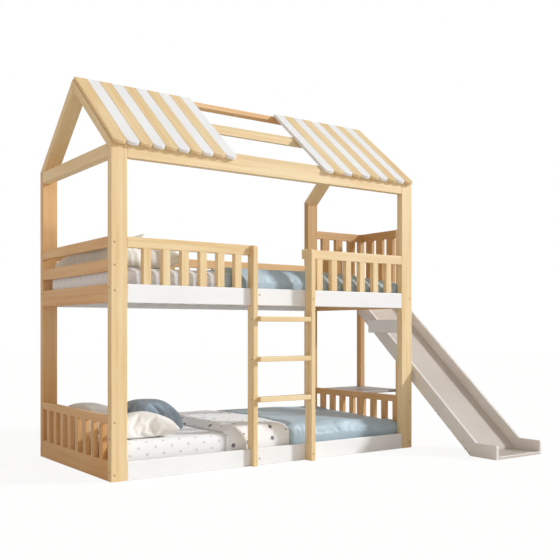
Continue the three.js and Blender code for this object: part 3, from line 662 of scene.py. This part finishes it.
# %% Filling a soft piece
def even(count):
    """Shares from 0 to 1 at an even step."""
    return [step / count for step in range(count + 1)]


def lengths(line):
    """How far along a line each of its points lies."""
    return [0.0, *np.cumsum(np.linalg.norm(np.diff(line, axis=0), axis=1))]


def grid_mesh(name, lower, upper, along, across):
    """A closed form between two surfaces, each a function of two shares.

    Its flat map is measured along the middle of the upper surface, so that a print keeps its size.
    """
    rows, columns = len(along), len(across)
    layer = rows * columns
    points = [surface(u, v) for surface in (lower, upper) for u in along for v in across]
    top = np.array(points[layer:]).reshape(rows, columns, 3)
    run_along, run_across = lengths(top[:, columns // 2]), lengths(top[rows // 2])
    faces, flats = [], []

    def uv(i, j, side):
        return (run_along[i] + side * run_along[-1], run_across[j])

    for i in range(rows - 1):
        for j in range(columns - 1):
            a = i * columns + j
            faces.append((a, a + 1, a + columns + 1, a + columns))
            flats.append([uv(i, j, 1), uv(i, j + 1, 1), uv(i + 1, j + 1, 1), uv(i + 1, j, 1)])
            faces.append((layer + a, layer + a + columns, layer + a + columns + 1, layer + a + 1))
            flats.append([uv(i, j, 0), uv(i + 1, j, 0), uv(i + 1, j + 1, 0), uv(i, j + 1, 0)])
    rim = [(i, 0) for i in range(rows - 1)] + [(rows - 1, j) for j in range(columns - 1)]
    rim += [(i, columns - 1) for i in range(rows - 1, 0, -1)] + [(0, j) for j in range(columns - 1, 0, -1)]
    for (i, j), (k, m) in zip(rim, rim[1:] + rim[:1]):
        a, b = i * columns + j, k * columns + m
        faces.append((a, b, layer + b, layer + a))
        flats.append([uv(i, j, 0), uv(k, m, 0), uv(k, m, 0), uv(i, j, 0)])
    mesh = bpy.data.meshes.new(name)
    mesh.from_pydata(points, [], faces)
    layer_uv = mesh.uv_layers.new(name="cloth")
    layer_uv.data.foreach_set("uv", np.array(flats, np.float32).ravel())
    mesh.validate()
    mesh.update()
    return mesh


def vertex_array(mesh):
    """A mesh's points, one to a row."""
    flat = np.zeros(len(mesh.vertices) * 3)
    mesh.vertices.foreach_get("co", flat)
    return flat.reshape(-1, 3)


def fill(piece, pressure, growth, frames, cap, stiffness, held=None):
    """Blows a closed piece up as cloth, and keeps each point within cap metres of its start."""
    start = vertex_array(piece.data)
    cloth = piece.modifiers.new("cloth", "CLOTH")
    cloth.point_cache.frame_start, cloth.point_cache.frame_end = 1, frames + 2
    settings = cloth.settings
    settings.quality = 6
    settings.mass = 0.2
    settings.tension_stiffness = settings.compression_stiffness = stiffness
    settings.shear_stiffness = stiffness / 2
    settings.bending_stiffness = 0.4
    settings.use_pressure = True
    settings.uniform_pressure_force = pressure
    settings.shrink_min = -growth
    settings.effector_weights.gravity = 0.0
    cloth.collision_settings.use_collision = False
    if held is not None:
        piece.vertex_groups.new(name="held").add(np.nonzero(held)[0].tolist(), 1.0, "REPLACE")
        settings.vertex_group_mass = "held"
        settings.pin_stiffness = 1.0
    for frame_number in range(1, frames + 1):
        scene.frame_set(frame_number)
    evaluated = piece.evaluated_get(bpy.context.evaluated_depsgraph_get())
    moved = vertex_array(evaluated.data)
    piece.modifiers.remove(cloth)
    scene.frame_set(1)
    step = moved - start
    length = np.linalg.norm(step, axis=1, keepdims=True)
    step *= np.minimum(1.0, cap / np.maximum(length, 1e-9))
    piece.data.vertices.foreach_set("co", (start + step).ravel())
    piece.data.update()


def smooth_finish(piece, material, levels=1):
    """Gives a soft piece its cloth, and rounds its facets by so many subdivisions."""
    piece.data.materials.append(material)
    for polygon in piece.data.polygons:
        polygon.use_smooth = True
    if levels:
        rounding = piece.modifiers.new("rounding", "SUBSURF")
        rounding.levels = rounding.render_levels = levels


# %% [markdown]
# ## Mattresses in their fitted sheets
#
# A foam mattress is a rounded block, and the sheet is pulled tight over it: flat on top, with short
# slanting creases down the sides where the elastic gathers it at the corners. The block is built on a
# grid, rounded by its distance from an inner block, and creased by noise that is strongest at its
# ends. It sinks a little towards its front corner at the foot, and what covers it there sinks with it.


# %% A mattress
BLOCK_CELL, EDGE_ROUND, UPRIGHT_ROUND = 0.024, 0.034, 0.062  # metres: grid, level and upright edges
CREASE, END_CREASE, END_REACH = 0.0015, 0.005, 0.22  # depth, what an end adds to it, and how far in
SAG = 0.0025  # how uneven the top is
SINK, FRONT_SINK, SINK_REACH = 0.006, 0.027, 0.55  # at the foot, what the front adds, and how far in


def smooth_step(value):
    """Rises softly from 0 to 1 as the value does."""
    value = min(1.0, max(0.0, value))
    return value * value * (3 - 2 * value)


def sunk(point, low, high):
    """Lowers a point on or over a mattress: it sinks towards its front corner at the foot."""
    back = (point.y - low.y) / (high.y - low.y)
    most = SINK + FRONT_SINK * (1 - min(1.0, max(0.0, back)))
    sink = most * smooth_step((point.x - high.x + SINK_REACH) / SINK_REACH)
    height = (point.z - low.z) / (high.z - low.z)
    return Vector((point.x, point.y, point.z - sink * height))


def block_grid(low, high):
    """A closed box with a fine grid on its faces."""
    shape = bmesh.new()
    bmesh.ops.create_cube(shape, size=1.0)
    size = high - low
    for axis in range(3):
        unit = Vector([float(other == axis) for other in range(3)])
        count = max(2, round(size[axis] / BLOCK_CELL))
        for cut in range(1, count):
            geometry = list(shape.verts) + list(shape.edges) + list(shape.faces)
            where = unit * (cut / count - 0.5)
            bmesh.ops.bisect_plane(shape, geom=geometry, plane_co=where, plane_no=unit)
    middle = (low + high) / 2
    for vertex in shape.verts:
        vertex.co = Vector([middle[axis] + vertex.co[axis] * size[axis] for axis in range(3)])
    return shape


def rounded(point, low, high):
    """Where a point of a box goes when its level edges and its upright ones are rounded."""
    plan = Vector((point.x, point.y, 0))
    inner = [min(max(plan[axis], low[axis] + UPRIGHT_ROUND), high[axis] - UPRIGHT_ROUND) for axis in (0, 1)]
    nearest = Vector((*inner, 0))
    if (plan - nearest).length > UPRIGHT_ROUND:
        plan = nearest + (plan - nearest).normalized() * UPRIGHT_ROUND
    outward = plan - nearest
    inward = max(0.0, EDGE_ROUND - (UPRIGHT_ROUND - outward.length))
    drop = max(0.0, EDGE_ROUND - (high.z - point.z), EDGE_ROUND - (point.z - low.z))
    span = math.hypot(inward, drop)
    moved = Vector((plan.x, plan.y, point.z))
    if span > EDGE_ROUND:
        pull = 1 - EDGE_ROUND / span
        moved -= outward.normalized() * inward * pull
        moved.z -= math.copysign(drop * pull, point.z - (low.z + high.z) / 2)
    return moved


def sheet_map(mesh, low, high):
    """The sheet's flat map, in metres: the top as it lies, and each side unfolded from its edge."""
    flat = mesh.uv_layers.new(name="cloth")
    for polygon in mesh.polygons:
        normal = polygon.normal
        over_side = abs(normal.y) >= abs(normal.x)
        for loop in polygon.loop_indices:
            point = mesh.vertices[mesh.loops[loop].vertex_index].co
            spread = math.copysign(high.z - point.z, normal.y if over_side else normal.x)
            place = (point.x, point.y + spread) if over_side else (point.x + spread, point.y)
            flat.data[loop].uv = (place[0] - low.x, place[1] - low.y)


def mattress(node_name, material):
    """A mattress in its sheet, in the place of one in the exact model."""
    name = node_name + "_in_sheet"
    low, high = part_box(node_name)
    shape = block_grid(low, high)
    for vertex in shape.verts:
        vertex.co = rounded(vertex.co, low, high)
    shape.normal_update()
    for vertex in shape.verts:
        point, normal = vertex.co.copy(), vertex.normal
        ends = math.exp(-((min(point.x - low.x, high.x - point.x) / END_REACH) ** 2))
        slant = noise.noise(Vector((point.x * 9 + point.z * 6, point.y * 9 + point.z * 6, point.z * 2)))
        calm = noise.noise(Vector((point.x * 2.4, point.y * 2.4, 3.1)))
        crease = -abs(slant) * (CREASE + END_CREASE * ends) * math.hypot(normal.x, normal.y)
        sag = SAG * (calm - 0.5) * max(0.0, normal.z)
        point += normal * (crease + sag)
        if normal.z < -0.5:
            point.z = max(point.z, low.z)
        vertex.co = sunk(point, low, high)
    mesh = finished(shape, name)
    sheet_map(mesh, low, high)
    piece = add_object(name, mesh)
    smooth_finish(piece, material, 0)
    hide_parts(node_name)
    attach(piece, "root")
    return piece


mattresses = [
    mattress("mattress_lower", sheet_cotton),
    mattress("mattress_upper", cool_sheet_cotton),
]
print([len(piece.data.polygons) for piece in mattresses], "faces in the mattresses")

# %% [markdown]
# ## Pillows
#
# A pillow is two flat pieces of cotton sewn at the rim. Filled, its middle rises, its sides draw in and
# its corners stay out as ears. After the filling it is set to the size of the pillow it stands for
# and let down on the mattress.


# %% A pillow
CASE_CELLS = 44  # across a case; along it they are as large
SEAM, LENS, UNEVEN = 0.003, 0.022, 0.004  # metres: half a case's thickness at its rim, its air, its bumps
BELOW_SEAM = 0.34  # the share of a pillow's height that bulges downwards


def sewn_case(name, width, length, seed):
    """A flat closed case with a slight lens of air and a trace of unevenness."""

    def surface(side):
        def at_share(u, v):
            x, y = u - 0.5, v - 0.5
            lens = (1 - (2 * x) ** 2) * (1 - (2 * y) ** 2)
            rough = noise.noise(Vector((u * 5 + seed, v * 5, side * 2.0))) * UNEVEN
            return (x * width, y * length, side * (SEAM + LENS * lens) + rough * lens)

        return at_share

    cells_along = round(CASE_CELLS * length / width)
    return grid_mesh(name, surface(-1), surface(1), even(CASE_CELLS), even(cells_along))


def lay_pillow(piece, size, middle, rest, ear_lift, plumpness):
    """Sets a filled pillow to its size, flattens what it lies on, lets it down and lifts an ear."""
    points = vertex_array(piece.data)
    low, high = points.min(0), points.max(0)
    points -= (low + high) / 2
    points *= np.array(size) / np.maximum(high - low, 1e-6)
    heights = points[:, 2]  # a view: what changes it moves the points
    half = size[2] / 2
    heights[:] = np.sign(heights) * half * np.abs(heights / half) ** plumpness
    belly = -size[2] * BELOW_SEAM
    under = heights < 0
    heights[under] = belly * np.tanh(heights[under] / belly)
    top = heights.max()
    missing = size[2] - (top - heights.min())
    heights[heights > 0] *= (top + missing) / top
    heights += rest - heights.min()
    towards_foot = np.clip(points[:, 0] / (size[0] / 2), 0, 1)
    towards_front = np.clip(-points[:, 1] / (size[1] / 2), 0, 1)
    heights += ear_lift * (towards_foot * towards_front) ** 2
    points[:, :2] += middle
    piece.data.vertices.foreach_set("co", points.ravel())
    piece.data.update()


# Each pillow: CAD node, cloth, slot, lift of its front ear at the foot's side in mm, seed, share of
# the CAD height, and plumpness: the lower, the further the filling reaches out towards the seams.
PILLOWS = (
    ("pillow_cream", cream_cotton, "cream_cotton", 0.0, 3.1, 1.0, 0.88),
    ("pillow_pale", cream_cotton, "greige_cotton", 6.0, 5.7, 1.0, 0.6),
    ("pillow_blue", slate_cotton, "blue_satin", -26.0, 8.2, 1.0, 0.6),
    ("pillow_upper", greige_cotton, "greige_cotton", 16.0, 11.9, 1.0, 0.46),
    ("pillow_upper_top", greige_cotton, "greige_cotton", 54.0, 14.3, 0.78, 0.55),
)
for node_name, cloth, slot_name, ear, seed, height_share, plumpness in PILLOWS:
    low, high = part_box(node_name)
    width, length, height = high - low
    name = node_name + "_case"
    pillow = add_object(name, sewn_case(name, width, length, seed))
    fill(pillow, pressure=5.0, growth=0.0, frames=16, cap=0.09, stiffness=9.0)
    middle = ((low.x + high.x) / 2, (low.y + high.y) / 2)
    lay_pillow(pillow, (width, length, height * height_share), middle, low.z, ear * MM, plumpness)
    smooth_finish(pillow, cloth)
    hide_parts(node_name)
    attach(pillow, "root")
print(len(PILLOWS), "pillows")

# %% [markdown]
# ## Quilt and covers
#
# The star-printed quilt lies across the lower bed in a band, folded double, with its ends tucked down
# beside the mattress. Satin covers lie over the foot of both beds. Each is a filled shell on an arch
# over the mattress: soft folds are drawn in first, then the cloth is blown up and buckles a little.


# %% A cover over a mattress
MATTRESS_EDGE = 35.0  # rounding of the mattress's long edges
COVER_DROP = 110.0  # from the mattress's top down to the hem
COVER_GAP = 0.8  # between the cover and the sheet
COVER_CELL, CELLS_ACROSS = 11.0, 112  # millimetres along the bed, and cells from hem to hem
SIDE_SHARE, HEM_SHARE = 0.82, 0.55  # of the room beside the mattress, and of that at the hem
END_ROUND = 60.0  # millimetres in which an end rises to the full thickness
HELD_CELLS = 7  # at each hem


def arch_point(share, half, top):
    """Place and outward direction on the line that a cover follows over the mattress, in mm."""
    flat = half - MATTRESS_EDGE
    hang = COVER_DROP - MATTRESS_EDGE
    radius = MATTRESS_EDGE + COVER_GAP
    turn = radius * math.pi / 2
    total = 2 * (hang + turn + flat)
    run = min(share, 1 - share) * total
    side = -1 if share < 0.5 else 1
    if run < hang:
        return side * (flat + radius), top - MATTRESS_EDGE - (hang - run), side, 0.0
    if run < hang + turn:
        angle = (run - hang) / radius
        return (
            side * (flat + radius * math.cos(angle)),
            top - MATTRESS_EDGE + radius * math.sin(angle),
            side * math.cos(angle),
            math.sin(angle),
        )
    return side * (flat - (run - hang - turn)), top + COVER_GAP, 0.0, 1.0


def folds(x, y, seed, size):
    """Long soft folds that wander across the bed, from -1 to 1."""
    bend = noise.noise(Vector((x * 1.3, y * 1.1, seed))) * 1.2
    ridge = noise.noise(Vector((x * size + y * 0.9 + bend, y * 0.5 - x * 0.4, seed + 4.0)))
    small = noise.noise(Vector((x * size * 2.1 - y * 1.3, y * 1.4 + bend, seed + 9.0)))
    return 1.5 * ridge + 0.3 * small


def cover(name, node_name, mattress_node, cloth, slot_name, thickness, fold, seed, size, thin_end):
    """A filled cover over a mattress; thin_end is its share of thickness where it is tucked in."""
    low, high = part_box(node_name)
    bed_low, bed_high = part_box(mattress_node)
    half = (bed_high.y - bed_low.y) / 2 / MM
    middle_y = (bed_low.y + bed_high.y) / 2
    top = bed_high.z / MM
    start, length = low.x / MM, (high.x - low.x) / MM
    side_room = ((high.y - low.y) / 2 / MM - half) * SIDE_SHARE
    hem = side_room * HEM_SHARE
    # the cells are narrow near the two ends, where the cover rises steeply
    along = [u - 0.6 * math.sin(math.tau * u) / math.tau for u in even(round(length / COVER_CELL))]
    across = even(CELLS_ACROSS)

    def surface(outer):
        def at_share(u, v):
            y, z, out_y, out_z = arch_point(v, half, top)
            x = start + u * length
            lift = 0.0
            if outer:
                end = min(1.0, min(u, 1 - u) * length / END_ROUND)
                rise = math.sqrt(end * (2 - end))
                crown = out_z * min(1.0, math.sin(math.pi * v) * 1.1)
                thinned = 1 - (1 - thin_end) * smooth_step((u - 0.15) / 0.8)
                wave = folds(x * MM, y * MM, seed, size)
                full = side_room + (thickness * thinned - side_room) * crown + fold * wave * crown
                lift = hem * (1 - 0.5 * crown) * (1 - rise) + rise * max(full, hem)
            place = Vector((x * MM, middle_y + (y + out_y * lift) * MM, (z + out_z * lift) * MM))
            return tuple(sunk(place, bed_low, bed_high))

        return at_share

    mesh = grid_mesh(name, surface(False), surface(True), along, across)
    piece = add_object(name, mesh)
    count = len(mesh.vertices)
    held = np.zeros(count, bool)
    held[: count // 2] = True
    outer_grid = held[count // 2 :].reshape(len(along), len(across))
    outer_grid[:, :HELD_CELLS] = outer_grid[:, -HELD_CELLS:] = True
    fill(piece, pressure=1.0, growth=0.03, frames=14, cap=0.009, stiffness=14.0, held=held)
    smooth_finish(piece, cloth)
    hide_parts(node_name)
    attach(piece, "root")
    return piece


# Each cover: name, CAD node, cloth, slot, thickness and depth of its folds in mm, seed, how
# close the folds are, and the share of its thickness that is left at the end where it is tucked in.
COVERS = (
    ("quilt_lower_folded", "quilt_lower", "mattress_lower", quilt_cotton, "quilt_cotton",
     38.0, 4.0, 2.4, 3.0, 1.0),
    ("cover_lower_satin", "cover_lower", "mattress_lower", blue_satin, "blue_satin",
     24.0, 9.0, 6.8, 3.4, 0.35),
    ("cover_upper_satin", "cover_upper", "mattress_upper", blue_satin, "blue_satin",
     22.0, 8.0, 9.5, 3.8, 0.4),
)
covers = [cover(*row) for row in COVERS]
print("quilt and covers:", [len(piece.data.vertices) for piece in covers], "points")

# %% [markdown]
# ## Floor and light
#
# The main light comes low from the right and the front, as through a tall window, so the ladder
# throws soft shadows to the left on the white rails. The rest is a fill as from the walls of a room:
# brighter near the horizon than overhead, and warm where it comes from the left. The floor and the
# background are white to the camera, and the floor keeps a faint shadow.

# %% Floor
FLOOR_GLOW, FLOOR_SHARE = 1.05, 0.86  # of the white that the camera sees, and its part in the floor


def white_to_camera(tree, kind, strength, share, own, end):
    """Mixes a share of plain white into what the camera sees of a shader."""
    seen = add_node(tree, "ShaderNodeLightPath").outputs["Is Camera Ray"]
    part = add_node(tree, "ShaderNodeMath", {0: seen, 1: share}, operation="MULTIPLY").outputs[0]
    white = add_node(tree, kind, {"Color": (1, 1, 1, 1), "Strength": strength}).outputs[0]
    mixed = add_node(tree, "ShaderNodeMixShader", {0: part, 1: own, 2: white}).outputs[0]
    connect(tree, tree.nodes[end], {"Surface": mixed})


bpy.ops.mesh.primitive_plane_add(size=40.0, location=(0, 0, 0))
floor = bpy.context.object
floor.name = "floor"
floor_material, floor_tree, floor_shader, _ = new_material("pale_floor", 0.9)
floor_shader.inputs["Base Color"].default_value = linear("#E9E6E2")
own = floor_shader.outputs[0]
white_to_camera(floor_tree, "ShaderNodeEmission", FLOOR_GLOW, FLOOR_SHARE, own, "Material Output")
floor.data.materials.append(floor_material)

# %% Lamp and world
SUN_TRAVEL, SUN_WIDTH = (-1.67, 1.0, -0.95), 7.0  # where its light goes, and degrees across
SUN_STRENGTH, SUN_COLOUR = 2.85, (0.90, 0.95, 1.0)
FILL_HORIZON, FILL_OVERHEAD = 0.86, 0.26
FILL_LEFT, FILL_ELSEWHERE = (1.0, 0.885, 0.76, 1.0), (0.98, 0.975, 0.965, 1.0)
sun_data = bpy.data.lights.new("window_light", "SUN")
sun_data.energy = SUN_STRENGTH
sun_data.angle = math.radians(SUN_WIDTH)
sun_data.color = SUN_COLOUR
sun = add_object("window_light", sun_data)
sun.rotation_euler = Vector(SUN_TRAVEL).to_track_quat("-Z", "Y").to_euler()

world = bpy.data.worlds.new("world")
scene.world = world
world.use_nodes = True
world_tree = world.node_tree
background = world_tree.nodes["Background"]
direction = add_node(world_tree, "ShaderNodeTexCoord").outputs["Generated"]
sides = add_node(world_tree, "ShaderNodeSeparateXYZ", {0: direction}).outputs
inputs = {"Value": sides["Z"], "To Min": FILL_HORIZON, "To Max": FILL_OVERHEAD}
fill_light = add_node(world_tree, "ShaderNodeMapRange", inputs).outputs["Result"]
inputs = {"Value": sides["X"], "From Min": -1.0, "From Max": 0.1}
from_left = add_node(world_tree, "ShaderNodeMapRange", inputs).outputs["Result"]
wall_light = add_node(world_tree, "ShaderNodeValToRGB", {"Fac": from_left})
wall_light.color_ramp.elements[0].color = FILL_LEFT
wall_light.color_ramp.elements[1].color = FILL_ELSEWHERE
connect(world_tree, background, {"Strength": fill_light, "Color": wall_light.outputs["Color"]})
own = background.outputs[0]
white_to_camera(world_tree, "ShaderNodeBackground", 1.0, 1.0, own, "World Output")
scene.view_settings.view_transform = "Standard"
print("one lamp of", SUN_STRENGTH, "and a fill of", FILL_HORIZON, "to", FILL_OVERHEAD)
